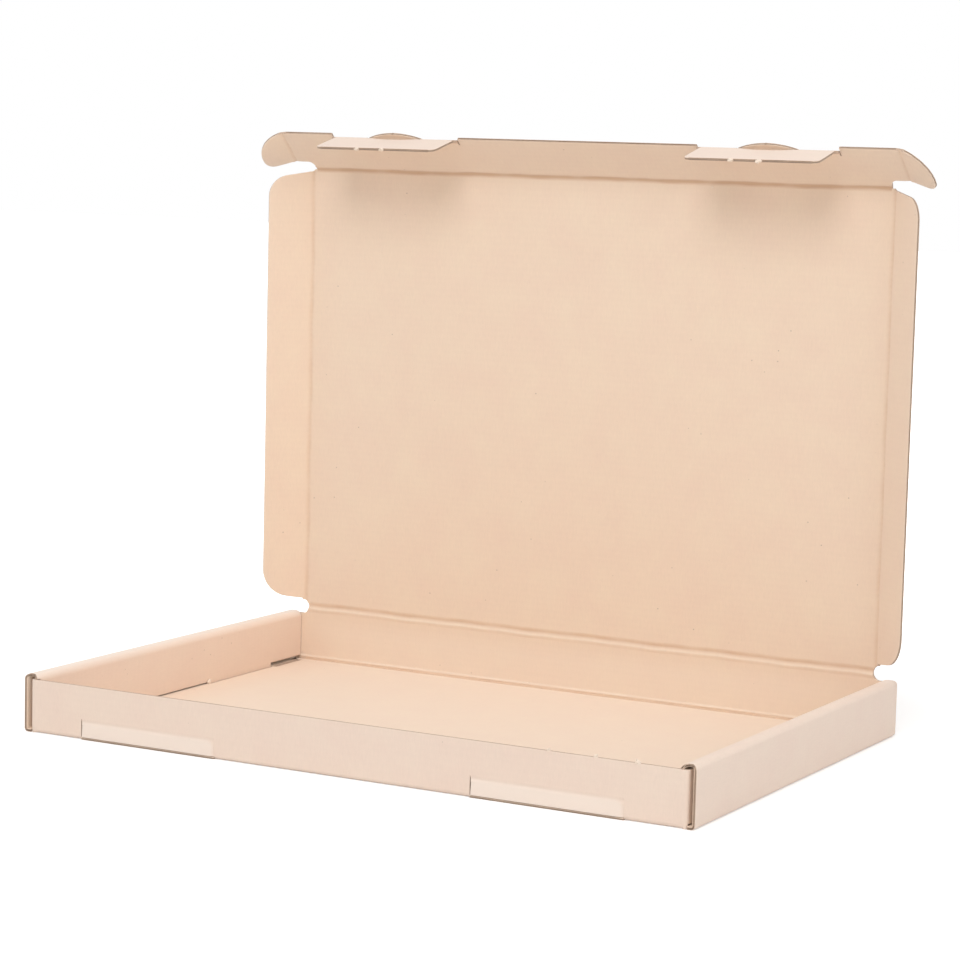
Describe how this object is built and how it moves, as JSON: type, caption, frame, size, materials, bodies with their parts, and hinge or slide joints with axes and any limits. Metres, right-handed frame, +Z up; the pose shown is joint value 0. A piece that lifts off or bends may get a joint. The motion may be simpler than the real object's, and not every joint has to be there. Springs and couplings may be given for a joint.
{
  "type": "corrugated mailer box",
  "caption": "Shallow roll-end corrugated mailer box standing open, with a hinged lid, dust flaps, and a front flap with ears and lock tabs.",
  "frame": {"origin": "on the table under the middle of the tray's floor", "axes": "+X along the front to the right, +Y towards the lid's hinge, +Z up"},
  "size_m": [0.3772, 0.2356, 0.2866],
  "materials": {
    "kraft_inside": "matte kraft liner",
    "kraft_outside": "matte kraft liner"
  },
  "bodies": {
    "tray": {"tray": "kraft_outside"},
    "lid": {"lid": "kraft_inside"},
    "dust_flap_left": {"dust_flap_left": "kraft_inside"},
    "dust_flap_right": {"dust_flap_right": "kraft_inside"},
    "front_flap": {"front_flap": "kraft_inside"},
    "ear_left": {"ear_left": "kraft_outside"},
    "ear_right": {"ear_right": "kraft_outside"},
    "lock_tab_left": {"lock_tab_left": "kraft_outside"},
    "lock_tab_right": {"lock_tab_right": "kraft_outside"}
  },
  "joints": [
    {"name": "lid_hinge", "type": "hinge", "parent": "tray", "child": "lid", "pos_m": [0, 0.11675, 0.0305], "axis": [1, 0, 0], "range_deg": [-96, 42]},
    {"name": "dust_flap_left_hinge", "type": "hinge", "parent": "lid", "child": "dust_flap_left", "pos_m": [-0.1643, 0.11675, 0.15], "axis": [0, 0, 1], "range_deg": [-43, 47]},
    {"name": "dust_flap_right_hinge", "type": "hinge", "parent": "lid", "child": "dust_flap_right", "pos_m": [0.1643, 0.11675, 0.15], "axis": [0, 0, -1], "range_deg": [-43, 47]},
    {"name": "front_flap_hinge", "type": "hinge", "parent": "lid", "child": "front_flap", "pos_m": [0, 0.11675, 0.2667], "axis": [1, 0, 0], "range_deg": [-47, 43]},
    {"name": "ear_left_hinge", "type": "hinge", "parent": "front_flap", "child": "ear_left", "pos_m": [-0.1726, 0.10578, 0.27693], "axis": [0, -0.7314, 0.682], "range_deg": [-22, 68]},
    {"name": "ear_right_hinge", "type": "hinge", "parent": "front_flap", "child": "ear_right", "pos_m": [0.1726, 0.10578, 0.27693], "axis": [0, 0.7314, -0.682], "range_deg": [-22, 68]},
    {"name": "lock_tab_left_hinge", "type": "hinge", "parent": "front_flap", "child": "lock_tab_left", "pos_m": [-0.1044, 0.09883, 0.28341], "axis": [1, 0, 0], "range_deg": [-57, 33]},
    {"name": "lock_tab_right_hinge", "type": "hinge", "parent": "front_flap", "child": "lock_tab_right", "pos_m": [0.1044, 0.09883, 0.28341], "axis": [1, 0, 0], "range_deg": [-57, 33]}
  ]
}
